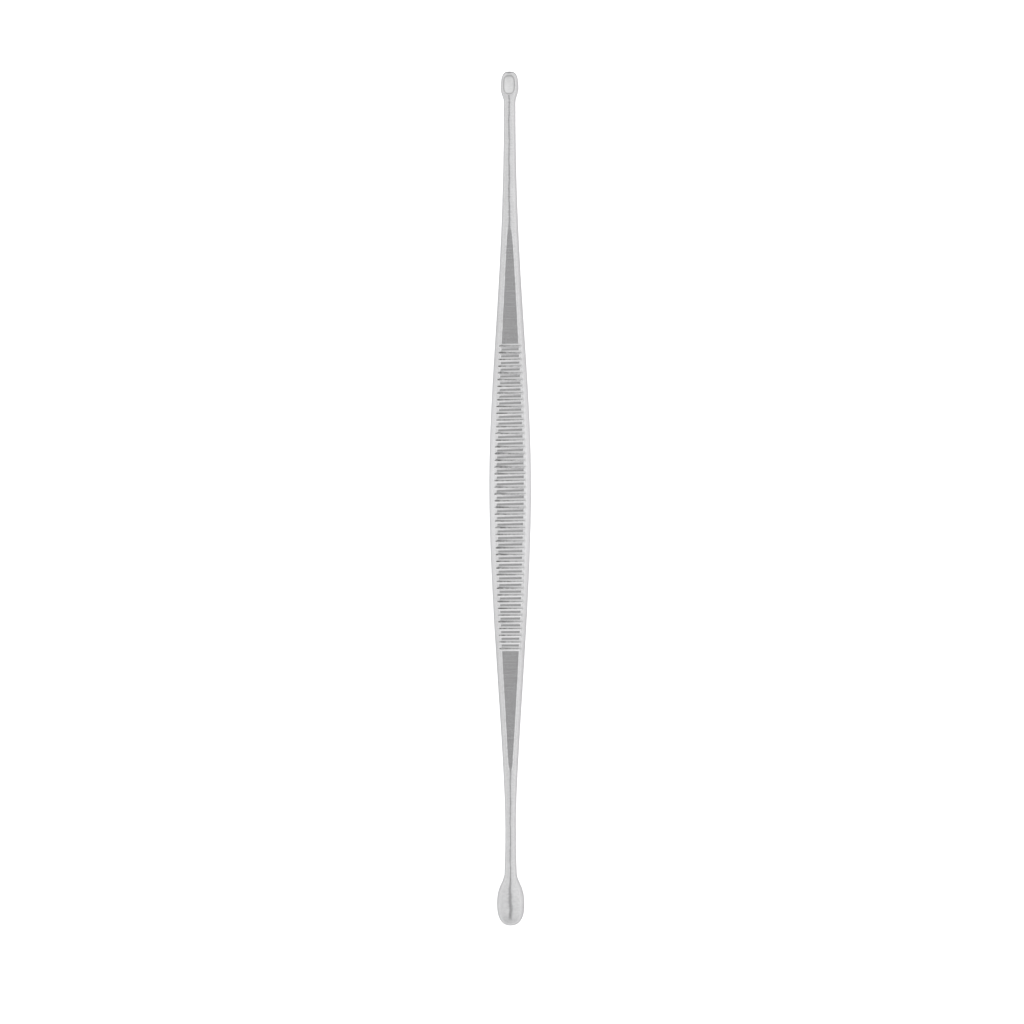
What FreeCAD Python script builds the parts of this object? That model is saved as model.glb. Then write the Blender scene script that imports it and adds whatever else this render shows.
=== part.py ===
# Double-ended bone scoop, forged and ground from one stainless bar: a small oval cup, a slim neck,
# a flat grip serrated on both faces, a second slim neck and a larger egg-shaped cup.
# Frame: X runs across the grip, +Y along the scoop towards the small cup, +Z up out of the front flat.
# The scoop lies on its back flat, so Z = 0 is the surface under it and X = Y = 0 is its middle.
# The small cup opens upwards and the large one downwards.
import FreeCAD, Part
import math
import os
from FreeCAD import Vector

# Whole scoop and grip
overall_length = 140.0
grip_width = 6.86
grip_thickness = 3.74
panel_width = 4.56
widest_offset = 2.0
level_length = 18.0

# Serrations, the same on both faces
groove_count = 46
groove_pitch = 1.10
groove_width = 0.76
groove_depth = 0.23
groove_offset = 0.2

# Small cup, opening up, and the neck behind it. Stations are measured from the small cup's tip. A bowl's
# width, length and depth are measured from the plane of its rim, and it is widest at its lift above that.
small_cup_width = 2.904
small_cup_thickness = 2.50
small_nose_station = 2.7
small_neck_station = 5.2
small_neck_diameter = 1.90
small_panel_station = 26.0
small_panel_height = 1.19
small_bowl_width = 2.02
small_bowl_length = 3.50
small_bowl_depth = 0.79
small_bowl_lift = 0.50
small_rim_height = 1.12
small_rim_setback = 0.36

# Large cup, opening down, and the neck behind it. Stations are measured from the large cup's tip.
large_cup_width = 4.49
large_cup_thickness = 3.40
large_nose_station = 3.6
large_shoulder_station = 8.8
large_shoulder_diameter = 2.00
large_neck_station = 16.0
large_neck_diameter = 1.76
large_panel_station = 26.0
large_panel_height = 1.045
large_bowl_width = 3.40
large_bowl_length = 5.8
large_bowl_depth = 2.15
large_bowl_lift = 0.0
large_rim_height = 0.98
large_rim_setback = 0.58

# Both openings lean towards their tips by this many degrees
rim_tilt = 4.0

# Pulls of the outline's curves: how far each end holds its direction, as a share of the curve's reach
small_nose_pulls = (0.58, 0.97)
small_cup_pulls = (0.42, 0.46)
small_taper_pulls = (0.46, 0.30)
large_taper_pulls = (0.34, 0.22)
large_neck_pulls = (0.80, 0.10)
large_cup_pulls = (0.32, 0.58)
large_nose_pulls = (0.96, 0.32)
small_panel_pulls = (0.15, 0.25)
large_panel_pulls = (0.05, 0.05)
bowl_pulls = (0.70, 0.70)

# Straight stretches in each curve of the outline
taper_stretches = 9
neck_stretches = 2
cup_stretches = 4
nose_stretches = 4

tip_y = overall_length / 2
half_grip = grip_thickness / 2
section_half_thickness = half_grip / math.sqrt(1 - (panel_width / grip_width) ** 2)
cutter_reach = grip_width
cutter_margin = 0.3
cutter_runout = 4 * cutter_reach


# A section of the bar is kept as one vector: half width, place along Y and half thickness
def section(width, y, thickness):
    return Vector(width / 2, y, thickness / 2)


# Poles of a curve that leaves the start and meets the end along Y
def swell_poles(start, end, pulls):
    reach = end.y - start.y
    leaving = Vector(start.x, start.y + pulls[0] * reach, start.z)
    meeting = Vector(end.x, end.y - pulls[1] * reach, end.z)
    return [start, leaving, meeting, end]


# Poles of a round nose, from its tip, square to Y, to its full section
def nose_poles(nose_tip_y, full, pulls):
    reach = full.y - nose_tip_y
    tip = Vector(0, nose_tip_y, 0)
    leaving = Vector(full.x * pulls[0], nose_tip_y, full.z * pulls[0])
    meeting = Vector(full.x, full.y - pulls[1] * reach, full.z)
    return [tip, leaving, meeting, full]


# A curve as short straight stretches, which keep the skins light
def stretches(poles, count):
    curve = Part.BezierCurve()
    curve.setPoles(poles)
    points = [curve.value(number / count) for number in range(count + 1)]
    return [[start, end] for start, end in zip(points, points[1:])]


# One quarter of a bar with elliptical sections, on one side (1 or -1) and one face (1 or -1)
def quarter_skin(start, end, side, face):
    rows = []
    weights = []
    for across, up, weight in ((1, 0, 1), (1, 1, math.sqrt(0.5)), (0, 1, 1)):
        rows.append([Vector(side * across * point.x, point.y, face * up * point.z) for point in (start, end)])
        weights.append([weight, weight])
    skin = Part.BSplineSurface()
    skin.buildFromPolesMultsKnots(rows, [3, 3], [2, 2], [0, 1], [0, 1], False, False, 2, 1, weights)
    return skin.toShape()


# Closed bar through a chain of stretches that starts and ends in a nose
def oval_bar(chain):
    skins = []
    for start, end in chain:
        for side in (1, -1):
            skins.append(quarter_skin(start, end, side, 1))
            skins.append(quarter_skin(start, end, side, -1))
    shell = Part.makeCompound(skins)
    shell.sewShape()
    bar = Part.Solid(shell.Shells[0])
    if bar.Volume < 0:
        bar.reverse()
    return bar


# The whole bar before its flats, grooves and bowls are cut
def make_blank():
    small_cup = section(small_cup_width, tip_y - small_nose_station, small_cup_thickness)
    small_neck = section(small_neck_diameter, tip_y - small_neck_station, small_neck_diameter)
    grip = section(grip_width, widest_offset, 2 * section_half_thickness)
    large_neck = section(large_neck_diameter, large_neck_station - tip_y, large_neck_diameter)
    shoulder = section(large_shoulder_diameter, large_shoulder_station - tip_y, large_shoulder_diameter)
    large_cup = section(large_cup_width, large_nose_station - tip_y, large_cup_thickness)
    return oval_bar([
        *stretches(nose_poles(tip_y, small_cup, small_nose_pulls), nose_stretches),
        *stretches(swell_poles(small_cup, small_neck, small_cup_pulls), cup_stretches),
        *stretches(swell_poles(small_neck, grip, small_taper_pulls), taper_stretches),
        *stretches(swell_poles(grip, large_neck, large_taper_pulls), taper_stretches),
        *stretches(swell_poles(large_neck, shoulder, large_neck_pulls), neck_stretches),
        *stretches(swell_poles(shoulder, large_cup, large_cup_pulls), cup_stretches),
        *stretches(nose_poles(-tip_y, large_cup, large_nose_pulls), nose_stretches),
    ])


# The front flat falls from its level stretch to each neck along one of these curves
def panel_curve(level_end_y, end_y, end_height, pulls):
    level_end = Vector(0, level_end_y, half_grip)
    curve = Part.BezierCurve()
    curve.setPoles(swell_poles(level_end, Vector(0, end_y, end_height), pulls))
    return curve


small_panel = panel_curve(
    widest_offset + level_length / 2, tip_y - small_panel_station, small_panel_height, small_panel_pulls)
large_panel = panel_curve(
    widest_offset - level_length / 2, large_panel_station - tip_y, large_panel_height, large_panel_pulls)


# Height of the front flat above the scoop's axis at a place along Y
def panel_height(y):
    if abs(y - widest_offset) <= level_length / 2:
        return half_grip
    curve = small_panel if y > widest_offset else large_panel
    nearest = curve.parameter(Vector(0, y, half_grip))
    return curve.value(nearest).z


# Block that leaves the front flat when it is cut from the bar
def flat_cutter():
    small_end = small_panel.EndPoint
    large_end = large_panel.EndPoint
    over_small_end = Vector(0, small_end.y + cutter_runout, cutter_reach)
    over_large_end = Vector(0, large_end.y - cutter_runout, cutter_reach)
    outline = Part.Wire([
        small_panel.toShape(),
        Part.makeLine(small_end, over_small_end),
        Part.makeLine(over_small_end, over_large_end),
        Part.makeLine(over_large_end, large_end),
        large_panel.toShape(),
        Part.makeLine(large_panel.StartPoint, small_panel.StartPoint),
    ])
    block = Part.Face(outline).extrude(Vector(2 * cutter_reach, 0, 0))
    block.translate(Vector(-cutter_reach, 0, 0))
    return block


# V-shaped cutter for one groove, its root below the flat and its mouth a little above it
def groove_cutter(y):
    root = panel_height(y) - groove_depth
    mouth = panel_height(y) + cutter_margin
    half_mouth = groove_width / 2 * (mouth - root) / groove_depth
    corners = [
        Vector(-cutter_reach, y, root),
        Vector(-cutter_reach, y + half_mouth, mouth),
        Vector(-cutter_reach, y - half_mouth, mouth),
    ]
    outline = Part.makePolygon(corners + corners[:1])
    return Part.Face(outline).extrude(Vector(2 * cutter_reach, 0, 0))


def groove_cutters():
    first = groove_offset - groove_pitch * (groove_count - 1) / 2
    return [groove_cutter(first + groove_pitch * number) for number in range(groove_count)]


# Bowl and rim cutters of one cup, as at the +Y tip with the opening up
def cup_cutters(width, length, depth, lift, rim_height, setback):
    centre_y = tip_y - setback - length / 2
    opening_share = math.sqrt(1 - (lift / (depth + lift)) ** 2)
    middle = section(width / opening_share, 0, 2 * (depth + lift))
    bowl_tip_y = length / opening_share / 2
    bowl = oval_bar([
        *stretches(nose_poles(bowl_tip_y, middle, bowl_pulls), nose_stretches),
        *stretches(nose_poles(-bowl_tip_y, middle, bowl_pulls), nose_stretches),
    ])
    bowl.translate(Vector(0, 0, lift))
    reach = 2 * length
    rim = Part.makeBox(2 * reach, 2 * reach, reach, Vector(-reach, -reach, 0))
    cutters = [bowl, rim]
    for cutter in cutters:
        cutter.rotate(Vector(0, 0, 0), Vector(1, 0, 0), -rim_tilt)
        cutter.translate(Vector(0, centre_y, rim_height))
    return cutters


# Turned half round about X, what is cut at the +Y tip from above is cut at the -Y tip from below
def turned(cutters):
    for cutter in cutters:
        cutter.rotate(Vector(0, 0, 0), Vector(1, 0, 0), 180)
    return cutters


# Turned half round about Y, what is cut from the front is cut from the back
def backs(cutters):
    copies = [cutter.copy() for cutter in cutters]
    for cutter in copies:
        cutter.rotate(Vector(0, 0, 0), Vector(0, 1, 0), 180)
    return copies


def make_scoop():
    small_cup = cup_cutters(
        small_bowl_width, small_bowl_length, small_bowl_depth, small_bowl_lift,
        small_rim_height, small_rim_setback)
    large_cup = cup_cutters(
        large_bowl_width, large_bowl_length, large_bowl_depth, large_bowl_lift,
        large_rim_height, large_rim_setback)
    front = [flat_cutter()]
    grooves = groove_cutters()
    scoop = make_blank()
    scoop = scoop.cut(front + backs(front))
    scoop = scoop.cut(small_cup + turned(large_cup))
    scoop = scoop.cut(grooves + backs(grooves))
    scoop.translate(Vector(0, 0, half_grip))
    return scoop.Solids[0]


def main():
    os.makedirs("parts", exist_ok=True)
    scoop = make_scoop()
    print("bone_scoop", "valid", scoop.isValid(), "volume", round(scoop.Volume, 2), "faces", len(scoop.Faces))
    scoop.exportStep("parts/bone_scoop.step")


main()
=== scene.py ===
import math

import bpy
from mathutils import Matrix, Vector


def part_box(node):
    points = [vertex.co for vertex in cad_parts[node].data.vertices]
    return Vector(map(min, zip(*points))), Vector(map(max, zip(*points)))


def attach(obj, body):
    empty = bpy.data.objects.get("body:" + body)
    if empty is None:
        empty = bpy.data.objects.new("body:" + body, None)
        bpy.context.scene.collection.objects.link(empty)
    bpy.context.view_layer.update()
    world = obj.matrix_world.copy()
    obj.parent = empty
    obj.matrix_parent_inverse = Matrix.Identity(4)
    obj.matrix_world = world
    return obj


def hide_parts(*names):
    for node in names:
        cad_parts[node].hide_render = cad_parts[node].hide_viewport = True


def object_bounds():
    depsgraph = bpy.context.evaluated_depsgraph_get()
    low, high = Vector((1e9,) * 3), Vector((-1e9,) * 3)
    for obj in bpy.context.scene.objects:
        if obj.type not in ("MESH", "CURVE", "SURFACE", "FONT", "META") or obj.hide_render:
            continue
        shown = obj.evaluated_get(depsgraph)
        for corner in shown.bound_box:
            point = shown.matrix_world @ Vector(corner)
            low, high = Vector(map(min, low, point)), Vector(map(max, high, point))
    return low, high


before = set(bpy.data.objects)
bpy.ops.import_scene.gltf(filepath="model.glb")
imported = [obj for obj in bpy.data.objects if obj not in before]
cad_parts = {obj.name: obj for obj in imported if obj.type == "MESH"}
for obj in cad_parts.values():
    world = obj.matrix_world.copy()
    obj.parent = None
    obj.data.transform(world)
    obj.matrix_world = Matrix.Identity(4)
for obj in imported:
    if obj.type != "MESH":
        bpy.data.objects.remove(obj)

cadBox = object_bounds()
scoopLow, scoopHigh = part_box("bone_scoop")
mm = 0.001
tiny = 0.000001        # keeps a node from dividing by nought


# Small helpers for node trees

def putNode(tree, kind, inputs=(), **settings):
    node = tree.nodes.new(kind)
    for name, value in settings.items():
        setattr(node, name, value)
    for key, value in dict(inputs).items():
        if isinstance(value, bpy.types.NodeSocket):
            tree.links.new(value, node.inputs[key])
        else:
            node.inputs[key].default_value = value
    return node


def calc(tree, operation, *values):
    return putNode(tree, "ShaderNodeMath", enumerate(values), operation=operation).outputs[0]


def clamp(tree, value, low=0.0, high=1.0):
    return calc(tree, "MINIMUM", calc(tree, "MAXIMUM", value, low), high)


def newTree(name, kind, inputs, outputs):
    tree = bpy.data.node_groups.new(name, kind)
    for socketName, socketType, default in inputs:
        socket = tree.interface.new_socket(socketName, in_out="INPUT", socket_type=socketType)
        if default is not None:
            socket.default_value = default
    for socketName, socketType in outputs:
        tree.interface.new_socket(socketName, in_out="OUTPUT", socket_type=socketType)
    return tree, tree.nodes.new("NodeGroupInput").outputs, tree.nodes.new("NodeGroupOutput").inputs


def floats(**values):
    return [(name, "NodeSocketFloat", value) for name, value in values.items()]


def setModifierInputs(modifier, values):
    for item in modifier.node_group.interface.items_tree:
        if item.item_type == "SOCKET" and item.in_out == "INPUT" and item.name in values:
            modifier[item.identifier] = values[item.name]


# The scoop's body. Lengths are in mm until the tree's last step.
# A section is (half width, place along Y, half thickness), and a pull says how far an end of a
# stretch holds its direction.

tipY = scoopHigh.y / mm
halfGrip = (scoopHigh.z - scoopLow.z) / mm / 2

body = {
    "gripHalfWidth": scoopHigh.x / mm,
    "panelHalfWidth": 2.28,
    "widestY": 2.0,
    "levelLength": 18.0,
    "smallCup": (1.452, tipY - 2.7, 1.25),
    "smallNeck": (0.95, tipY - 5.2, 0.95),
    "largeNeck": (0.88, 16.0 - tipY, 0.88),
    "shoulder": (1.00, 8.8 - tipY, 1.00),
    "largeCup": (2.245, 3.6 - tipY, 1.70),
    "smallNosePulls": (0.58, 0.97),
    "smallCupPulls": (0.42, 0.46),
    "smallTaperPulls": (0.46, 0.30),
    "largeTaperPulls": (0.34, 0.22),
    "largeNeckPulls": (0.80, 0.10),
    "largeCupPulls": (0.32, 0.58),
    "largeNosePulls": (0.96, 0.32),
    "smallPanelEnd": (44.0, 1.19, 0.15, 0.25),      # place along Y, height, pulls
    "largePanelEnd": (-44.0, 1.045, 0.05, 0.05),
    "panelRunout": 0.25,
    "rimTilt": 4.0,
    # Openings are measured in the rim's plane, and a bowl's form has its widest place "lift" above it
    "smallBowl": {"width": 2.22, "length": 3.80, "depth": 0.79, "height": 1.12, "setback": 0.30,
                  "lift": 0.50, "aside": -0.10, "squareness": 3.1},
    "largeBowl": {"width": 3.40, "length": 5.80, "depth": 2.15, "height": 0.98, "setback": 0.58,
                  "lift": 0.0, "aside": 0.0, "squareness": 2.2},
    "smallCrown": -0.13,           # how far each neck's crown leans aside, as a share of its height
    "largeCrown": -0.08,
    "crownStart": 34.0,            # from the middle, where the lean starts, and how far it takes to grow
    "crownGrowth": 20.0,
    "crownWaves": ((0.035, 1.1, 0.0), (0.025, 2.9, 1.3)),      # share, radians for each mm, start
    "flatShare": 0.42,             # of the lanes of one face, those on its flat
    "creaseSoftness": 0.045,
    "crispAngle": 40.0,            # edges sharper than this many degrees aren't smoothed over
    "laneCount": 84,
    "smallCupRings": 24,
    "taperRings": 64,
    "largeNeckRings": 14,
    "largeCupRings": 28,
    "bowlSegments": 72,
    "bowlRings": 40,
    "seamReach": 0.0002,           # points closer than this become one where the sheet closes
    "sliverReach": 0.001,          # and these where the bowls were cut
}

serration = {
    "count": 46,
    "pitch": 1.10,
    "offset": 0.2,
    "width": 0.76,
    "depth": 0.23,
    "root": 0.10,              # radius
    "softness": 0.02,
    "lean": 0.12,              # how much deeper a groove is at its left end
    "unevenness": 0.10,        # how much grooves differ in depth
    "seed": 7,
    "landSlant": 0.03,         # rise of the lands from left to right, towards the small cup's end
    "ringPlaces": (0.04, 0.09, 0.16, 0.24, 0.31, 0.36, 0.40, 0.46),   # from each groove's middle
}

marks = {
    "flatEdge": 0.05,          # how far from a flat's edge the steel is worn
    "cutDepth": 0.03,          # metal cut away, from which a mark counts in full
    "grooveEdge": 0.07,        # how far from a groove's edge the steel is worn
    "rootReach": 0.14,         # how far from a groove's middle the painted shade lies
    "flankDepth": 0.25,        # share of a groove's depth from which its flank gets painted light
    "runoutShadeFrom": 0.44,          # the stretch of painted shade past each flat's right edge, as a share of the lanes
    "runoutShadeReach": 0.0625,
    "runoutShadeHeight": 0.14,
    "runoutShadeDepth": 0.06,
    "rimShadeReach": 0.16,          # how far below and above the rim a bowl's painted shade reaches
}


def swell(start, end, pulls):
    reach = end[1] - start[1]
    return [
        Vector(start),
        Vector((start[0], start[1] + pulls[0] * reach, start[2])),
        Vector((end[0], end[1] - pulls[1] * reach, end[2])),
        Vector(end),
    ]


def nose(noseY, full, pulls):
    reach = full[1] - noseY
    return [
        Vector((0, noseY, 0)),
        Vector((full[0] * pulls[0], noseY, full[2] * pulls[0])),
        Vector((full[0], full[1] - pulls[1] * reach, full[2])),
        Vector(full),
    ]


def bezier(poles, t):
    s = 1 - t
    return poles[0] * s**3 + poles[1] * (3 * s * s * t) + poles[2] * (3 * s * t * t) + poles[3] * t**3


def bezierAt(poles, y):
    halvings = 40
    low, high = 0.0, 1.0
    for step in range(halvings):
        middle = (low + high) / 2
        if (bezier(poles, middle).y > y) == (poles[0].y > poles[3].y):
            low = middle
        else:
            high = middle
    return bezier(poles, low)


def rings(poles, count):
    # Sections along a curve, without its last one
    return [bezier(poles, number / count) for number in range(count)]


def spineSections():
    smallCup, smallNeck = body["smallCup"], body["smallNeck"]
    largeNeck, shoulder, largeCup = body["largeNeck"], body["shoulder"], body["largeCup"]
    sectionHalfThickness = halfGrip / math.sqrt(1 - (body["panelHalfWidth"] / body["gripHalfWidth"]) ** 2)
    grip = (body["gripHalfWidth"], body["widestY"], sectionHalfThickness)
    smallTaper = swell(smallNeck, grip, body["smallTaperPulls"])
    largeTaper = swell(grip, largeNeck, body["largeTaperPulls"])
    first = serration["offset"] + serration["pitch"] * (serration["count"] - 1) / 2
    steps = serration["ringPlaces"]
    groovePlaces = [first - serration["pitch"] * number + side
                    for number in range(serration["count"])
                    for side in [*reversed(steps), 0, *(-step for step in steps)]]
    before = groovePlaces[0] - smallNeck[1]
    after = largeNeck[1] - groovePlaces[-1]
    count = body["taperRings"]
    places = [smallNeck[1] + before * number / count for number in range(1, count)]
    places += groovePlaces
    places += [groovePlaces[-1] + after * number / count for number in range(1, count)]

    sections = rings(nose(tipY, smallCup, body["smallNosePulls"]), body["smallCupRings"])
    sections += rings(swell(smallCup, smallNeck, body["smallCupPulls"]), body["smallCupRings"])
    sections.append(Vector(smallNeck))
    sections += [bezierAt(smallTaper if place > body["widestY"] else largeTaper, place) for place in places]
    sections += rings(swell(largeNeck, shoulder, body["largeNeckPulls"]), body["largeNeckRings"])
    sections += rings(swell(shoulder, largeCup, body["largeCupPulls"]), body["largeCupRings"])
    largeNose = nose(-tipY, largeCup, body["largeNosePulls"])
    count = body["largeCupRings"]
    sections += [bezier(largeNose, 1 - number / count) for number in range(count + 1)]
    return sections


def panelHeight(y):
    side = 1 if y > body["widestY"] else -1
    levelEnd = body["widestY"] + body["levelLength"] / 2 * side
    endY, endHeight, leaving, meeting = body["smallPanelEnd" if side > 0 else "largePanelEnd"]
    if abs(y - body["widestY"]) <= body["levelLength"] / 2:
        return halfGrip
    if abs(y) >= abs(endY):
        return endHeight + body["panelRunout"] * abs(y - endY)
    return bezierAt(swell((0, levelEnd, halfGrip), (0, endY, endHeight), (leaving, meeting)), y).z


def rimHeight(bowl, distance):
    # Height of the rim's plane at a distance along Y from the middle, towards the bowl's tip
    return bowl["height"] - math.tan(math.radians(body["rimTilt"])) * (distance - bowlPlace(bowl))


def bowlPlace(bowl):
    return tipY - bowl["setback"] - bowl["length"] / 2


def landSlant(y):
    # The grooves' roots lie straight across, and the lands between them a little askew
    steps = (y - serration["offset"]) / serration["pitch"] + (serration["count"] - 1) / 2
    away = abs(steps - min(max(round(steps), 0), serration["count"] - 1)) * serration["pitch"]
    if away > serration["pitch"] / 2:
        return 0.0
    reach = serration["pitch"] * serration["count"] / 2
    share = min(max((y + reach) / reach, 0), 1)
    return serration["landSlant"] * share * min(away / (serration["width"] / 2), 1)


def crownLean(y):
    # The necks and cups were dressed by hand, so their crowns lean and wander a little
    share = min(max((abs(y) - body["crownStart"]) / body["crownGrowth"], 0), 1)
    share = share * share * (3 - 2 * share)
    wander = sum(size * math.sin(turn * y + start) for size, turn, start in body["crownWaves"])
    return share * (body["smallCrown" if y > 0 else "largeCrown"] + wander)


def bowlForm(bowl):
    # The full ellipsoid whose cut in the rim's plane is the opening
    deep = bowl["depth"] + bowl["lift"]
    share = math.sqrt(1 - (bowl["lift"] / deep) ** 2)
    return {"width": bowl["width"] / share, "length": bowl["length"] / share, "depth": deep}


def makeSpine():
    sections = spineSections()
    mesh = bpy.data.meshes.new("scoopSpine")
    mesh.from_pydata(sections, [(number, number + 1) for number in range(len(sections) - 1)], [])
    measures = {
        "frontHeight": lambda y: min(panelHeight(y), rimHeight(body["smallBowl"], y)),
        "backHeight": lambda y: min(panelHeight(y), rimHeight(body["largeBowl"], -y)),
        "slant": landSlant,
        "crown": crownLean,
    }
    for name, measure in measures.items():
        values = mesh.attributes.new(name, "FLOAT", "POINT").data
        for number, section in enumerate(sections):
            values[number].value = measure(section.y)
    spine = bpy.data.objects.new("scoopSpine", mesh)
    bpy.context.collection.objects.link(spine)
    return spine


def nearness(tree, distance, reach):
    # 1 at the place itself, falling to 0 at the reach
    share = calc(tree, "DIVIDE", calc(tree, "ABSOLUTE", distance), reach)
    return calc(tree, "MAXIMUM", calc(tree, "SUBTRACT", 1.0, share), 0.0)


grooveSizes = ("count", "pitch", "offset", "width", "depth", "root", "softness", "lean", "unevenness")


def makeGrooveTree():
    # How deep the nearest groove is at a place on the grip, and which part of it this is
    names = ["Place", "Across", *(name.capitalize() for name in grooveSizes)]
    tree, given, result = newTree(
        "Groove depth", "GeometryNodeTree",
        [(name, "NodeSocketFloat", 0.0) for name in names] + [("Seed", "NodeSocketInt", 0)],
        [(name, "NodeSocketFloat") for name in ("Depth", "Root", "Edge", "Inside")])

    def rounded(distance):
        square = calc(tree, "MULTIPLY", given["Root"], given["Root"])
        longer = calc(tree, "SQRT", calc(tree, "MULTIPLY_ADD", distance, distance, square))
        return calc(tree, "SUBTRACT", longer, given["Root"])

    span = calc(tree, "MULTIPLY", given["Pitch"], calc(tree, "SUBTRACT", given["Count"], 1.0))
    first = calc(tree, "SUBTRACT", given["Offset"], calc(tree, "MULTIPLY", span, 0.5))
    steps = calc(tree, "DIVIDE", calc(tree, "SUBTRACT", given["Place"], first), given["Pitch"])
    last = calc(tree, "SUBTRACT", given["Count"], 1.0)
    nearest = clamp(tree, calc(tree, "ROUND", steps), 0.0, last)
    stepsAway = calc(tree, "ABSOLUTE", calc(tree, "SUBTRACT", steps, nearest))
    away = calc(tree, "MULTIPLY", stepsAway, given["Pitch"])
    chance = putNode(tree, "FunctionNodeRandomValue", {
        "ID": nearest, "Seed": given["Seed"], 2: -1.0, 3: 1.0}, data_type="FLOAT")      # from -1 to 1
    share = calc(tree, "MULTIPLY_ADD", chance.outputs[1], given["Unevenness"], 1.0)
    share = calc(tree, "SUBTRACT", share, calc(tree, "MULTIPLY", given["Across"], given["Lean"]))
    depth = calc(tree, "MULTIPLY", given["Depth"], share)
    slope = calc(tree, "DIVIDE", depth, rounded(calc(tree, "MULTIPLY", given["Width"], 0.5)))
    flank = calc(tree, "SUBTRACT", depth, calc(tree, "MULTIPLY", rounded(away), slope))
    tree.links.new(calc(tree, "SMOOTH_MAX", flank, 0.0, given["Softness"]), result["Depth"])
    tree.links.new(nearness(tree, away, marks["rootReach"]), result["Root"])
    fromEdge = calc(tree, "SUBTRACT", away, calc(tree, "MULTIPLY", given["Width"], 0.5))
    tree.links.new(nearness(tree, fromEdge, marks["grooveEdge"]), result["Edge"])
    inside = calc(tree, "DIVIDE", flank, calc(tree, "MULTIPLY", depth, marks["flankDepth"]))
    tree.links.new(clamp(tree, inside), result["Inside"])
    return tree


def makeSectionTree():
    # Part of the way round a section: an oval with its top cut flat at a height
    tree, given, result = newTree(
        "Flattened oval", "GeometryNodeTree",
        floats(Across=0.0, HalfWidth=1.0, HalfThickness=1.0, Height=1.0, Softness=0.05, FlatShare=0.4,
               LeastAngle=0.35, SideCrowding=1.5),
        [("X", "NodeSocketFloat"), ("Z", "NodeSocketFloat"), ("Cut", "NodeSocketFloat")])
    share = calc(tree, "MINIMUM", calc(tree, "DIVIDE", given["Height"], given["HalfThickness"]), 1.0)
    corner = calc(tree, "MAXIMUM", calc(tree, "ARCCOSINE", share), given["LeastAngle"])
    out = calc(tree, "ABSOLUTE", given["Across"])
    alongFlat = calc(tree, "MINIMUM", calc(tree, "DIVIDE", out, given["FlatShare"]), 1.0)
    eased = calc(tree, "SINE", calc(tree, "MULTIPLY", alongFlat, math.pi / 2))
    flatAngle = calc(tree, "MULTIPLY", corner, eased)
    beyond = calc(tree, "MAXIMUM", calc(tree, "SUBTRACT", out, given["FlatShare"]), 0.0)
    alongSide = calc(tree, "DIVIDE", beyond, calc(tree, "SUBTRACT", 1.0, given["FlatShare"]))
    left = calc(tree, "SUBTRACT", math.pi / 2, corner)
    sideAngle = calc(tree, "MULTIPLY", left, calc(tree, "POWER", alongSide, given["SideCrowding"]))
    angle = calc(tree, "ADD", flatAngle, sideAngle)
    x = calc(tree, "MULTIPLY", calc(tree, "SINE", angle), given["HalfWidth"])
    oval = calc(tree, "MULTIPLY", calc(tree, "COSINE", angle), given["HalfThickness"])
    tree.links.new(calc(tree, "MULTIPLY", x, calc(tree, "SIGN", given["Across"])), result["X"])
    tree.links.new(calc(tree, "SMOOTH_MIN", oval, given["Height"], given["Softness"]), result["Z"])
    tree.links.new(calc(tree, "SUBTRACT", oval, given["Height"]), result["Cut"])
    return tree


def makeBowlTree():
    # A hollow's form: an ellipsoid whose outline is squared off a little
    tree, given, result = newTree(
        "Bowl form", "GeometryNodeTree",
        floats(Width=1.0, Length=1.0, Depth=1.0, Lift=0.0, Squareness=2.0), [("Mesh", "NodeSocketGeometry")])
    ball = putNode(tree, "GeometryNodeMeshUVSphere", {
        "Segments": body["bowlSegments"], "Rings": body["bowlRings"], "Radius": 1.0})
    position = tree.nodes.new("GeometryNodeInputPosition").outputs[0]
    x, y, z = putNode(tree, "ShaderNodeSeparateXYZ", {0: position}).outputs
    flat = putNode(tree, "ShaderNodeCombineXYZ", {"X": x, "Y": y})
    reach = putNode(tree, "ShaderNodeVectorMath", {0: flat.outputs[0]}, operation="LENGTH").outputs["Value"]
    reach = calc(tree, "MAXIMUM", reach, tiny)
    shares = [calc(tree, "DIVIDE", calc(tree, "ABSOLUTE", value), reach) for value in (x, y)]
    powers = [calc(tree, "POWER", share, given["Squareness"]) for share in shares]
    corner = calc(tree, "MAXIMUM", calc(tree, "ADD", *powers), tiny)
    grow = calc(tree, "POWER", corner, calc(tree, "DIVIDE", -1.0, given["Squareness"]))
    halfWidth = calc(tree, "MULTIPLY", given["Width"], 0.5)
    halfLength = calc(tree, "MULTIPLY", given["Length"], 0.5)
    height = calc(tree, "MULTIPLY_ADD", z, given["Depth"], given["Lift"])
    shaped = putNode(tree, "ShaderNodeCombineXYZ", {
        "X": calc(tree, "MULTIPLY", calc(tree, "MULTIPLY", x, grow), halfWidth),
        "Y": calc(tree, "MULTIPLY", calc(tree, "MULTIPLY", y, grow), halfLength),
        "Z": height})
    moved = putNode(tree, "GeometryNodeSetPosition", {
        "Geometry": ball.outputs[0], "Position": shaped.outputs[0]})
    marked = putNode(tree, "GeometryNodeStoreNamedAttribute", {
        "Geometry": moved.outputs[0], "Name": "bowl", "Value": 1.0}, data_type="FLOAT", domain="FACE")
    # Painted shade near the rim's height
    rimShaded = putNode(tree, "GeometryNodeStoreNamedAttribute", {
        "Geometry": marked.outputs[0], "Name": "rimShade", "Value": nearness(tree, height, marks["rimShadeReach"])},
        data_type="FLOAT", domain="POINT")
    tree.links.new(rimShaded.outputs[0], result["Mesh"])
    return tree


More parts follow.
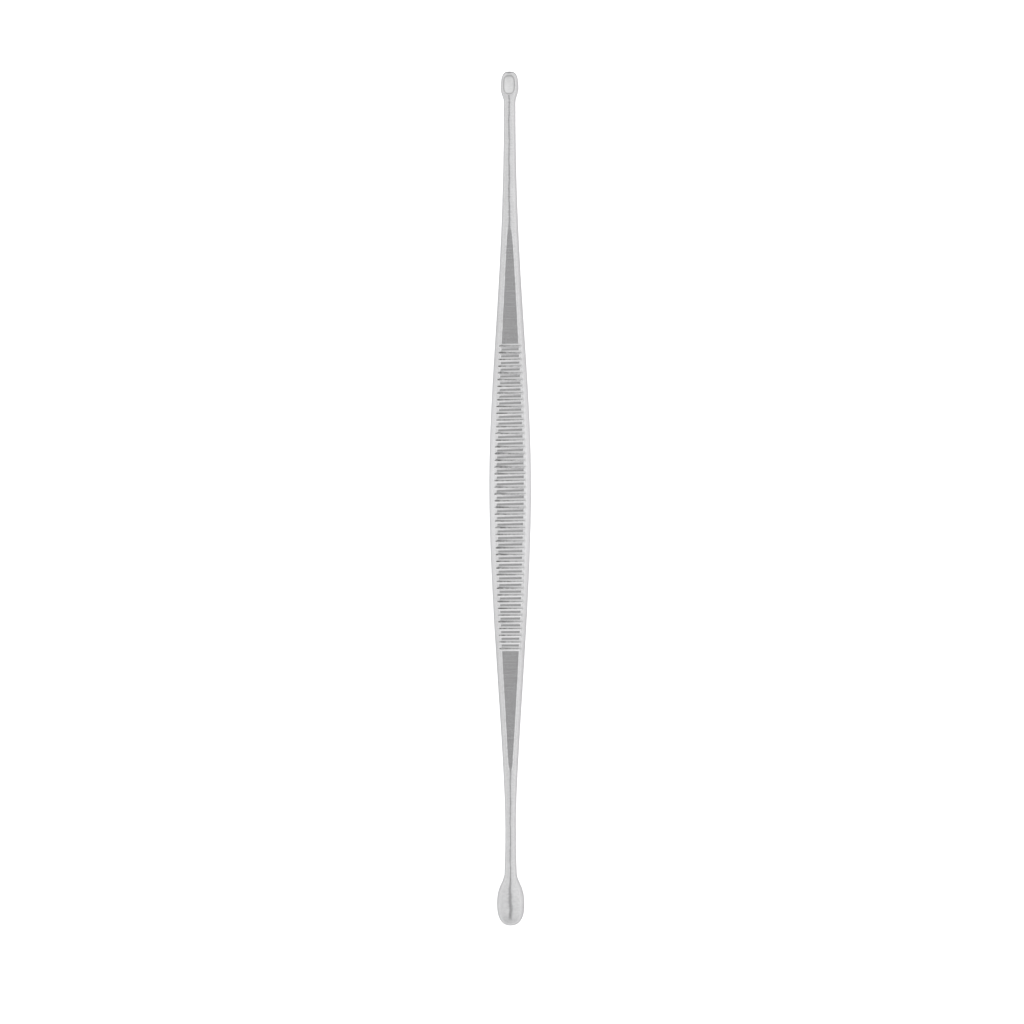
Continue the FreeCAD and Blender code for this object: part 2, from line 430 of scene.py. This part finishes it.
def scoopInputs():
    values = {
        "Lanes": body["laneCount"],
        "Half grip": halfGrip,
        "Flat share": body["flatShare"],
        "Crease softness": body["creaseSoftness"],
        "Rim tilt": body["rimTilt"],
        "Groove seed": serration["seed"],
    }
    for name in grooveSizes:
        values["Groove " + name] = float(serration[name])
    for name, bowl in (("Small", body["smallBowl"]), ("Large", body["largeBowl"])):
        sizes = {**bowlForm(bowl), "place": bowlPlace(bowl)}
        for part in ("height", "lift", "aside", "squareness"):
            sizes[part] = bowl[part]
        for part, value in sizes.items():
            values[name + " bowl " + part] = value
    return values


def makeScoopTree(values, steel, bowlSteel):
    kinds = {int: "NodeSocketInt", float: "NodeSocketFloat"}
    sockets = [(name, kinds[type(value)], value) for name, value in values.items()]
    tree, given, result = newTree(
        "Bone scoop", "GeometryNodeTree", [("Spine", "NodeSocketGeometry", None)] + sockets,
        [("Scoop", "NodeSocketGeometry")])

    # A sheet of rings by lanes, rolled round the spine
    ringCount = putNode(tree, "GeometryNodeAttributeDomainSize", {0: given["Spine"]}).outputs["Point Count"]
    columns = calc(tree, "ADD", given["Lanes"], 1.0)
    sheet = putNode(tree, "GeometryNodeMeshGrid", {"Vertices X": ringCount, "Vertices Y": columns})
    index = tree.nodes.new("GeometryNodeInputIndex").outputs[0]
    ring = calc(tree, "FLOOR", calc(tree, "DIVIDE", calc(tree, "ADD", index, 0.5), columns))
    lane = calc(tree, "SUBTRACT", index, calc(tree, "MULTIPLY", ring, columns))

    def fromSpine(dataType, value):
        return putNode(tree, "GeometryNodeSampleIndex", {0: given["Spine"], 1: value, 2: ring},
                       data_type=dataType).outputs[0]

    def valueOf(name):
        stored = putNode(tree, "GeometryNodeInputNamedAttribute", {"Name": name}, data_type="FLOAT")
        return fromSpine("FLOAT", stored.outputs[0])

    section = fromSpine("FLOAT_VECTOR", tree.nodes.new("GeometryNodeInputPosition").outputs[0])
    halfWidth, along, halfThickness = putNode(tree, "ShaderNodeSeparateXYZ", {0: section}).outputs

    # Once round is a turn of 4: 0 to 2 over the front from right to left, and 2 to 4 under the back
    turn = calc(tree, "DIVIDE", calc(tree, "MULTIPLY", lane, 4.0), given["Lanes"])
    onBack = calc(tree, "GREATER_THAN", turn, 2.0)
    frontAcross = calc(tree, "SUBTRACT", 1.0, turn)
    backAcross = calc(tree, "SUBTRACT", turn, 3.0)

    def frontOrBack(front, back):
        return putNode(tree, "GeometryNodeSwitch", {0: onBack, 1: front, 2: back},
                       input_type="FLOAT").outputs[0]

    across = frontOrBack(frontAcross, backAcross)
    height = frontOrBack(valueOf("frontHeight"), valueOf("backHeight"))
    acrossFlat = clamp(tree, calc(tree, "DIVIDE", across, given["Flat share"]), -1.0, 1.0)
    groove = putNode(tree, "GeometryNodeGroup", {
        "Place": along, "Across": acrossFlat, "Seed": given["Groove seed"],
        **{name.capitalize(): given["Groove " + name] for name in grooveSizes}}, node_tree=makeGrooveTree())
    point = putNode(tree, "GeometryNodeGroup", {
        "Across": across, "HalfWidth": halfWidth, "HalfThickness": halfThickness,
        "Height": calc(tree, "SUBTRACT", height, groove.outputs["Depth"]),
        "Softness": given["Crease softness"], "FlatShare": given["Flat share"]}, node_tree=makeSectionTree())
    facing = calc(tree, "SUBTRACT", 1.0, calc(tree, "MULTIPLY", onBack, 2.0))
    up = calc(tree, "ADD", calc(tree, "MULTIPLY", point.outputs["Z"], facing), given["Half grip"])
    leaning = calc(tree, "MULTIPLY_ADD", point.outputs["Z"], valueOf("crown"), point.outputs["X"])
    slid = calc(tree, "MULTIPLY_ADD", point.outputs["X"], valueOf("slant"), along)
    spot = putNode(tree, "ShaderNodeCombineXYZ", {"X": leaning, "Y": slid, "Z": up})
    rolled = putNode(tree, "GeometryNodeSetPosition", {
        "Geometry": sheet.outputs[0], "Position": spot.outputs[0]})

    # Where edges wear bright, where the grooves' roots get painted shade, where their flanks get painted
    # light, and where their right ends get painted shade
    cut = clamp(tree, calc(tree, "DIVIDE", point.outputs["Cut"], marks["cutDepth"]))
    pastFlat = calc(tree, "SUBTRACT", across, marks["runoutShadeFrom"])
    pastFlat = clamp(tree, calc(tree, "DIVIDE", pastFlat, marks["runoutShadeReach"]))
    grooved = calc(tree, "MINIMUM", calc(tree, "DIVIDE", groove.outputs["Depth"], marks["runoutShadeDepth"]), 1.0)
    runoutShade = calc(tree, "MULTIPLY", nearness(tree, point.outputs["Cut"], marks["runoutShadeHeight"]), pastFlat)
    masks = {
        "wear": calc(tree, "MAXIMUM", nearness(tree, point.outputs["Cut"], marks["flatEdge"]),
                     calc(tree, "MULTIPLY", groove.outputs["Edge"], cut)),
        "grime": calc(tree, "MULTIPLY", groove.outputs["Root"], cut),
        "flankLight": calc(tree, "MULTIPLY", groove.outputs["Inside"], cut),
        "runoutShade": calc(tree, "MULTIPLY", runoutShade, grooved),
    }
    marked = rolled
    for name, value in masks.items():
        marked = putNode(tree, "GeometryNodeStoreNamedAttribute", {
            "Geometry": marked.outputs[0], "Name": name, "Value": value}, data_type="FLOAT", domain="POINT")
    closed = putNode(tree, "GeometryNodeMergeByDistance", {
        "Geometry": marked.outputs[0], "Distance": body["seamReach"]})
    outward = putNode(tree, "GeometryNodeFlipFaces", {"Mesh": closed.outputs[0]})

    # The two bowls, cut out of it
    hollowed = putNode(tree, "GeometryNodeMeshBoolean", {"Mesh 1": outward.outputs[0]},
                       operation="DIFFERENCE", solver="MANIFOLD")
    bowlTree = makeBowlTree()
    formSizes = ("width", "length", "depth", "lift", "squareness")
    for name, way, turn in (("Small bowl ", 1.0, 0.0), ("Large bowl ", -1.0, math.pi)):
        sizes = {part.capitalize(): given[name + part] for part in formSizes}
        form = putNode(tree, "GeometryNodeGroup", sizes, node_tree=bowlTree)
        lean = calc(tree, "RADIANS", calc(tree, "MULTIPLY", given["Rim tilt"], -1.0))
        turned = putNode(tree, "ShaderNodeCombineXYZ", {"X": calc(tree, "ADD", lean, turn)})
        centre = putNode(tree, "ShaderNodeCombineXYZ", {
            "X": given[name + "aside"],
            "Y": calc(tree, "MULTIPLY", given[name + "place"], way),
            "Z": calc(tree, "ADD", calc(tree, "MULTIPLY", given[name + "height"], way), given["Half grip"])})
        cutter = putNode(tree, "GeometryNodeTransform", {
            "Geometry": form.outputs[0], "Translation": centre.outputs[0], "Rotation": turned.outputs[0]})
        tree.links.new(cutter.outputs[0], hollowed.inputs["Mesh 2"])
    clean = putNode(tree, "GeometryNodeMergeByDistance", {
        "Geometry": hollowed.outputs[0], "Distance": body["sliverReach"]})

    # Smooth skins with crisp edges, in metres
    angle = tree.nodes.new("GeometryNodeInputMeshEdgeAngle").outputs["Unsigned Angle"]
    gentle = calc(tree, "LESS_THAN", angle, math.radians(body["crispAngle"]))
    smooth = putNode(tree, "GeometryNodeSetShadeSmooth", {
        "Geometry": clean.outputs[0], "Shade Smooth": True}, domain="FACE")
    crisp = putNode(tree, "GeometryNodeSetShadeSmooth", {
        "Geometry": smooth.outputs[0], "Shade Smooth": gentle}, domain="EDGE")
    metres = putNode(tree, "GeometryNodeTransform", {"Geometry": crisp.outputs[0], "Scale": (mm, mm, mm)})
    whole = putNode(tree, "GeometryNodeRealizeInstances", {"Geometry": metres.outputs[0]})
    inBowl = putNode(tree, "GeometryNodeInputNamedAttribute", {"Name": "bowl"}, data_type="FLOAT").outputs[0]
    outside = putNode(tree, "GeometryNodeSetMaterial", {"Geometry": whole.outputs[0], "Material": steel})
    bowlFaces = calc(tree, "GREATER_THAN", inBowl, 0.5)
    inside = putNode(tree, "GeometryNodeSetMaterial", {
        "Geometry": outside.outputs[0], "Selection": bowlFaces, "Material": bowlSteel})
    tree.links.new(inside.outputs[0], result["Scoop"])
    return tree


def makeScoop(steel, bowlSteel):
    spine = makeSpine()
    modifier = spine.modifiers.new("Bone scoop", "NODES")
    values = scoopInputs()
    modifier.node_group = makeScoopTree(values, steel, bowlSteel)
    setModifierInputs(modifier, values)
    evaluated = spine.evaluated_get(bpy.context.evaluated_depsgraph_get())
    mesh = bpy.data.meshes.new_from_object(evaluated)
    spine.modifiers.remove(modifier)
    bpy.data.objects.remove(spine)
    mesh.name = "scoopBody"
    scoop = bpy.data.objects.new("scoopBody", mesh)
    bpy.context.collection.objects.link(scoop)
    return scoop


# What the two finishes share: a fine grain, and steel worn bright along its edges

grainParts = {
    # A noise's detail, the values between which it counts, and its weight in the steel's tone
    "Grain": {"detail": 3.0, "between": (0.30, 0.70), "weight": 0.2},
    "Streaks": {"detail": 2.0, "between": (0.30, 0.70), "weight": 0.2},
    "Crossing": {"detail": 1.0, "between": (0.32, 0.68), "weight": 0.4},
    "Patches": {"detail": 2.0, "between": (0.35, 0.65), "weight": 0.2},
}

edgeWear = {
    "breakSize": 0.5,
    "breakDetail": 3.0,
    "breaks": (0.35, 0.6, 0.25, 1.0),      # the noise's values, and how worn the edge is there
}


def blend(tree, share, first, second):
    # Sockets 6 and 7 are the Mix node's two colours
    return putNode(tree, "ShaderNodeMix", {0: share, 6: first, 7: second}, data_type="RGBA").outputs[2]


def spread(tree, value, low, high, toLow=0.0, toHigh=1.0):
    return putNode(tree, "ShaderNodeMapRange", {
        "Value": value, "From Min": low, "From Max": high, "To Min": toLow, "To Max": toHigh}).outputs[0]


def placeInMillimetres(tree, across=1 / mm, along=1 / mm):
    place = tree.nodes.new("ShaderNodeTexCoord").outputs["Object"]
    scales = putNode(tree, "ShaderNodeCombineXYZ", {"X": across, "Y": along, "Z": 1 / mm})
    scaled = putNode(tree, "ShaderNodeVectorMath", {0: place, 1: scales.outputs[0]}, operation="MULTIPLY")
    return scaled.outputs[0]


def makeGrainGroup():
    tree, given, result = newTree(
        "Steel grain", "ShaderNodeTree",
        floats(GrainSize=0.2, StreakLength=3.0, StreakWidth=0.12, CrossingWidth=1.4, PatchSize=1.6),
        [(name, "NodeSocketFloat") for name in grainParts])

    def addNoise(name, place, size):
        part = grainParts[name]
        noise = putNode(tree, "ShaderNodeTexNoise", {
            "Vector": place, "Scale": calc(tree, "DIVIDE", 1.0, size),
            "Detail": part["detail"], "Roughness": 0.6})
        tree.links.new(spread(tree, noise.outputs[0], *part["between"]), result[name])

    squeeze = calc(tree, "MULTIPLY", given["StreakWidth"], 1 / mm)
    squeeze = calc(tree, "DIVIDE", squeeze, given["StreakLength"])
    everyWay = placeInMillimetres(tree)
    addNoise("Grain", everyWay, given["GrainSize"])
    addNoise("Streaks", placeInMillimetres(tree, along=squeeze), given["StreakWidth"])
    crossingSize = calc(tree, "MULTIPLY", given["StreakWidth"], given["CrossingWidth"])
    addNoise("Crossing", placeInMillimetres(tree, across=squeeze), crossingSize)
    addNoise("Patches", everyWay, given["PatchSize"])
    return tree


def makeWearGroup():
    tree, given, result = newTree(
        "Edge wear", "ShaderNodeTree", floats(Amount=0.7, BreakSize=0.5), [("Worn", "NodeSocketFloat")])
    edge = putNode(tree, "ShaderNodeAttribute", attribute_name="wear").outputs["Fac"]
    breaks = putNode(tree, "ShaderNodeTexNoise", {
        "Vector": placeInMillimetres(tree), "Scale": calc(tree, "DIVIDE", 1.0, given["BreakSize"]),
        "Detail": edgeWear["breakDetail"]}).outputs[0]
    worn = calc(tree, "MULTIPLY", edge, spread(tree, breaks, *edgeWear["breaks"]))
    tree.links.new(calc(tree, "MULTIPLY", worn, given["Amount"]), result["Worn"])
    return tree


# Satin steel, the whole outside

steelFinish = {
    "colour": (0.665, 0.665, 0.672, 1.0),
    "darkColour": (0.465, 0.463, 0.468, 1.0),
    "wornColour": (0.80, 0.80, 0.81, 1.0),
    "edgeColour": (0.66, 0.66, 0.67, 1.0),    # what is left of the gloss where the steel turns away
    "roughness": (0.19, 0.26),
    "flatFrom": (0.98, 0.995),                # how far up the steel has to face to be a flat
    "contrast": (0.5, 1.0),                   # of the tones, on round and on flat parts
    "grainSize": 0.22,                        # mm, as are the streaks' sizes
    "streakLength": 2.6,
    "streakWidth": 0.16,
    "wear": 0.7,
    "wornRoughness": 0.13,
    "reliefDepth": 0.0000022,                 # metres
    "flankLightColour": (0.68, 0.68, 0.685, 1.0),
    "runoutShadeColour": (0.27, 0.27, 0.272, 1.0),   # painted shade along the grooves' right ends
    "grimeColour": (0.10, 0.098, 0.095, 1.0),
    "grimeRoughness": 0.5,
    "grimeRoot": (0.05, 0.5),                 # how near a root's middle it starts and is full
    "grimeAcross": (-2.3, 1.6, 1.0, 0.38),    # from the left end to the right one, and how much lies there
    "grimeRight": (1.3, 1.8, 1.0, 0.35),      # the last of it, towards the right end
    "grimeSize": 2.2,                         # patches of the painted root shade for each mm
    "grimeDetail": 3.0,
    "grimeBreaks": (0.36, 0.56, 0.35, 1.0),
    "sideSheen": 0.5,
    "sideSheenAlong": (22.0, 34.0),             # mm from the grip's middle, and from the scoop's axis
    "sideSheenAcross": (2.1, 3.1),
    "tipShadeColour": (0.29, 0.29, 0.292, 1.0),
    "tipAlong": (0.36, 0.1),                  # mm from the tip where it starts and is full
    "tipUp": (-0.2, 0.3),                     # mm above the scoop's axis where it starts and is full
}

bowlFinish = {
    "colour": (0.80, 0.80, 0.802, 1.0),
    "darkColour": (0.71, 0.71, 0.712, 1.0),
    "wornColour": (0.80, 0.80, 0.81, 1.0),
    "edgeColour": (0.85, 0.85, 0.86, 1.0),
    "roughness": (0.52, 0.62),
    "flatFrom": (0.98, 0.995),
    "contrast": (1.0, 1.0),
    "grainSize": 0.16,
    "streakLength": 0.8,
    "streakWidth": 0.2,
    "wear": 0.5,
    "reliefDepth": 0.000003,
    "rimShadeColour": (0.42, 0.42, 0.423, 1.0),
}


def startSteel(name, finish, grainGroup, wearGroup):
    # The part of a steel that both finishes have: grain, streaks, patches and worn edges
    steel = bpy.data.materials.new(name)
    steel.use_nodes = True
    tree = steel.node_tree
    shader = tree.nodes["Principled BSDF"]
    shader.inputs["Metallic"].default_value = 1.0
    shader.inputs["Specular Tint"].default_value = finish["edgeColour"]
    grain = putNode(tree, "ShaderNodeGroup", {
        "GrainSize": finish["grainSize"], "StreakLength": finish["streakLength"],
        "StreakWidth": finish["streakWidth"]}, node_tree=grainGroup)
    worn = putNode(tree, "ShaderNodeGroup", {
        "Amount": finish["wear"], "BreakSize": edgeWear["breakSize"]}, node_tree=wearGroup)
    mix = 0.0
    for part, settings in grainParts.items():
        mix = calc(tree, "MULTIPLY_ADD", grain.outputs[part], settings["weight"], mix)

    # The flats show their brushing, and rounder parts little of it
    normal = tree.nodes.new("ShaderNodeTexCoord").outputs["Normal"]
    facingUp = calc(tree, "ABSOLUTE", putNode(tree, "ShaderNodeSeparateXYZ", {0: normal}).outputs["Z"])
    contrast = spread(tree, facingUp, *finish["flatFrom"], *finish["contrast"])
    middle = 0.5
    tones = calc(tree, "MULTIPLY_ADD", calc(tree, "SUBTRACT", mix, middle), contrast, middle)
    colour = blend(tree, tones, finish["darkColour"], finish["colour"])
    colour = blend(tree, worn.outputs[0], colour, finish["wornColour"])
    smooth, rough = finish["roughness"]
    roughness = spread(tree, mix, 0.0, 1.0, rough, smooth)
    relief = calc(tree, "ADD", grain.outputs["Grain"], grain.outputs["Streaks"])
    bump = putNode(tree, "ShaderNodeBump", {"Distance": finish["reliefDepth"], "Height": relief})
    tree.links.new(bump.outputs[0], shader.inputs["Normal"])
    return steel, shader, colour, roughness, worn.outputs[0]


def makeSteel(grainGroup, wearGroup):
    steel, shader, colour, roughness, worn = startSteel("satinSteel", steelFinish, grainGroup, wearGroup)
    tree = steel.node_tree
    smoother = steelFinish["wornRoughness"] - steelFinish["roughness"][1]
    roughness = calc(tree, "ADD", roughness, calc(tree, "MULTIPLY", worn, smoother))

    # The grooves' flanks get painted light, a brighter colour, and their right ends get painted shade
    flankLight = putNode(tree, "ShaderNodeAttribute", attribute_name="flankLight").outputs["Fac"]
    colour = blend(tree, flankLight, colour, steelFinish["flankLightColour"])
    runoutShade = putNode(tree, "ShaderNodeAttribute", attribute_name="runoutShade").outputs["Fac"]
    colour = blend(tree, runoutShade, colour, steelFinish["runoutShadeColour"])

    # Painted shade in the grooves' roots, more of it to the left and in some than in others
    root = putNode(tree, "ShaderNodeAttribute", attribute_name="grime").outputs["Fac"]
    place = placeInMillimetres(tree)
    x, y, z = putNode(tree, "ShaderNodeSeparateXYZ", {0: place}).outputs
    breaks = putNode(tree, "ShaderNodeTexNoise", {
        "Vector": place, "Scale": steelFinish["grimeSize"], "Detail": steelFinish["grimeDetail"]}).outputs[0]
    reach = spread(tree, x, *steelFinish["grimeAcross"])
    reach = calc(tree, "MULTIPLY", reach, spread(tree, x, *steelFinish["grimeRight"]))
    held = calc(tree, "MULTIPLY", reach, spread(tree, breaks, *steelFinish["grimeBreaks"]))
    grime = calc(tree, "MULTIPLY", spread(tree, root, *steelFinish["grimeRoot"]), held)
    colour = blend(tree, grime, colour, steelFinish["grimeColour"])
    rougher = steelFinish["grimeRoughness"] - steelFinish["roughness"][0]
    roughness = calc(tree, "MULTIPLY_ADD", grime, rougher, roughness)

    # Painted light on the grip's sides, in the worn colour
    fromMiddle = calc(tree, "ABSOLUTE", calc(tree, "SUBTRACT", y, body["widestY"]))
    sideSheen = calc(tree, "MULTIPLY", spread(tree, fromMiddle, *steelFinish["sideSheenAlong"], 1.0, 0.0),
                   spread(tree, calc(tree, "ABSOLUTE", x), *steelFinish["sideSheenAcross"]))
    sideSheen = calc(tree, "MULTIPLY", sideSheen, steelFinish["sideSheen"])
    colour = blend(tree, sideSheen, colour, steelFinish["wornColour"])

    # Painted shade, standing in for a dark reflection, on the small cup's tip, over its upper half
    starts, full = steelFinish["tipAlong"]
    below, above = steelFinish["tipUp"]
    tipShade = calc(tree, "MULTIPLY", spread(tree, y, tipY - starts, tipY - full),
                  spread(tree, z, halfGrip + below, halfGrip + above))
    colour = blend(tree, tipShade, colour, steelFinish["tipShadeColour"])
    tree.links.new(colour, shader.inputs["Base Color"])
    tree.links.new(roughness, shader.inputs["Roughness"])
    return steel


# Blasted steel, the inside of both bowls

def makeBowlSteel(grainGroup, wearGroup):
    steel, shader, colour, roughness = startSteel("blastedSteel", bowlFinish, grainGroup, wearGroup)[:4]
    tree = steel.node_tree

    # Painted shade in a line just inside the rim
    rimShade = putNode(tree, "ShaderNodeAttribute", attribute_name="rimShade").outputs["Fac"]
    colour = blend(tree, rimShade, colour, bowlFinish["rimShadeColour"])
    tree.links.new(colour, shader.inputs["Base Color"])
    tree.links.new(roughness, shader.inputs["Roughness"])
    return steel


# Floor, lights and camera

studio = {
    "floorSize": 3.0,
    "floorDrop": 0.00002,           # the paper lies a hair under the scoop
    "floorColour": (0.93, 0.93, 0.93, 1.0),
    "floorRoughness": 0.9,
    "floorGlow": (0.17, 0.6),       # in the steel, and in the picture, where it lifts the paper to white
    "reflectedDarkPatch": (0.0, 0.0003, 0.012, 0.02),      # metres from the small cup's tip: where it starts and ends
    "reflectedDarkHalfWidth": (0.0014, 0.0024),
    # the painted dark patch's colour, seen only in the steel's reflections
    "darkColour": (0.42, 0.42, 0.42, 1.0),
    "tentLight": 1.12,
    "slotLight": 0.45,
    "slotLeft": (4.0, 9.5),         # degrees from straight up where the slot ends
    "slotRight": (4.0, 19.0),
    "slotAlong": (35.0, 50.0),
    "topLight": 0.06,
    "rightLight": 0.05,
    "horizonLight": 0.16,
    "horizonFalloff": 4.0,
    "bottomShade": -0.17,
    "bottomBetween": (-0.35, -0.8),
    "mouthShade": -0.75,            # the tent is open beyond the small cup
    "mouthBetween": (0.93, 0.985),
    "leastUp": 0.01,                # keeps the slot's edges from reaching the horizon
    "lens": 100.0,
    "sensor": 36.0,
    "nearClip": 0.01,
    "imageSize": 1024,
    "imageTop": 71.75,              # rows of the scoop's two tips, and the column of its axis
    "imageBottom": 925.55,
    "imageAxis": 510.2,
    "imageRoll": -0.075,            # degrees
}


def makeFloor():
    half = studio["floorSize"] / 2
    mesh = bpy.data.meshes.new("floor")
    corners = [(-half, -half, 0), (half, -half, 0), (half, half, 0), (-half, half, 0)]
    mesh.from_pydata(corners, [], [(0, 1, 2, 3)])
    paper = bpy.data.materials.new("palePaper")
    paper.use_nodes = True
    shader = paper.node_tree.nodes["Principled BSDF"]
    shader.inputs["Roughness"].default_value = studio["floorRoughness"]
    shader.inputs["Specular IOR Level"].default_value = 0.0
    shader.inputs["Emission Color"].default_value = (1, 1, 1, 1)
    tree = paper.node_tree
    seen = tree.nodes.new("ShaderNodeLightPath").outputs["Is Camera Ray"]
    glow = spread(tree, seen, 0.0, 1.0, *studio["floorGlow"])
    tree.links.new(glow, shader.inputs["Emission Strength"])

    # A painted dark patch on the paper beyond the small cup shows in the steel's reflections alone, as a
    # dark reflection on the small cup's tip
    place = tree.nodes.new("ShaderNodeTexCoord").outputs["Object"]
    x, y = putNode(tree, "ShaderNodeSeparateXYZ", {0: place}).outputs[:2]
    starts, full, fades, ends = [cadBox[1].y + distance for distance in studio["reflectedDarkPatch"]]
    dark = calc(tree, "MULTIPLY", spread(tree, y, starts, full), spread(tree, y, fades, ends, 1.0, 0.0))
    beside = spread(tree, calc(tree, "ABSOLUTE", x), *studio["reflectedDarkHalfWidth"], 1.0, 0.0)
    dark = calc(tree, "MULTIPLY", calc(tree, "MULTIPLY", dark, beside), calc(tree, "SUBTRACT", 1.0, seen))
    colour = blend(tree, dark, studio["floorColour"], studio["darkColour"])
    tree.links.new(colour, shader.inputs["Base Color"])
    mesh.materials.append(paper)
    floor = bpy.data.objects.new("floor", mesh)
    floor.location.z = cadBox[0].z - studio["floorDrop"]
    bpy.context.collection.objects.link(floor)


def makeTent():
    # Light comes from all round, but for a dimmer slot overhead that runs along the scoop
    world = bpy.data.worlds.new("lightTent")
    world.use_nodes = True
    bpy.context.scene.world = world
    tree = world.node_tree
    way = putNode(tree, "ShaderNodeTexCoord").outputs["Generated"]
    x, y, z = putNode(tree, "ShaderNodeSeparateXYZ", {0: way}).outputs
    up = calc(tree, "MAXIMUM", z, studio["leastUp"])

    def edge(value, inner, outer):
        share = calc(tree, "DIVIDE", calc(tree, "ABSOLUTE", value), up)
        inner, outer = math.tan(math.radians(inner)), math.tan(math.radians(outer))
        return putNode(tree, "ShaderNodeMapRange", {"Value": share, "From Min": inner, "From Max": outer},
                       interpolation_type="SMOOTHSTEP").outputs[0]

    toRight = calc(tree, "MAXIMUM", x, 0.0)
    toLeft = calc(tree, "MINIMUM", x, 0.0)
    cloth = calc(tree, "MAXIMUM", edge(toLeft, *studio["slotLeft"]), edge(toRight, *studio["slotRight"]))
    cloth = calc(tree, "MAXIMUM", cloth, edge(y, *studio["slotAlong"]))
    light = spread(tree, cloth, 0.0, 1.0, studio["slotLight"], studio["tentLight"])
    light = calc(tree, "MULTIPLY_ADD", y, studio["topLight"], light)
    light = calc(tree, "MULTIPLY_ADD", x, studio["rightLight"], light)
    bottom = spread(tree, y, *studio["bottomBetween"])
    light = calc(tree, "MULTIPLY_ADD", bottom, studio["bottomShade"], light)
    low = calc(tree, "SUBTRACT", 1.0, calc(tree, "MAXIMUM", z, 0.0))
    low = calc(tree, "POWER", low, studio["horizonFalloff"])
    light = calc(tree, "MULTIPLY_ADD", low, studio["horizonLight"], light)
    mouth = spread(tree, y, *studio["mouthBetween"])
    light = calc(tree, "MULTIPLY_ADD", mouth, studio["mouthShade"], light)
    tree.links.new(light, tree.nodes["Background"].inputs["Strength"])
    tree.nodes["Background"].inputs["Color"].default_value = (1, 1, 1, 1)


def makeCamera():
    scale = (cadBox[1].y - cadBox[0].y) / (studio["imageBottom"] - studio["imageTop"])
    distance = studio["lens"] * scale * studio["imageSize"] / studio["sensor"]
    middleRow = (studio["imageTop"] + studio["imageBottom"]) / 2
    data = bpy.data.cameras.new("camera")
    data.lens = studio["lens"]
    data.sensor_width = studio["sensor"]
    data.clip_start = studio["nearClip"]
    camera = bpy.data.objects.new("camera", data)
    camera.location = (
        (studio["imageSize"] / 2 - studio["imageAxis"]) * scale,
        (middleRow - studio["imageSize"] / 2) * scale,
        halfGrip * mm + distance,
    )
    camera.rotation_euler.z = math.radians(studio["imageRoll"])
    bpy.context.collection.objects.link(camera)
    bpy.context.scene.camera = camera


bpy.context.scene.view_settings.view_transform = "Standard"
grainGroup = makeGrainGroup()
wearGroup = makeWearGroup()
steel = makeSteel(grainGroup, wearGroup)
bowlSteel = makeBowlSteel(grainGroup, wearGroup)
print("finishes made")
scoop = makeScoop(steel, bowlSteel)
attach(scoop, "root")
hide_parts("bone_scoop")
triangles = sum(len(face.vertices) - 2 for face in scoop.data.polygons)
print("scoop made:", len(scoop.data.vertices), "vertices", triangles, "triangles")
makeFloor()
makeTent()
makeCamera()
print("studio made")
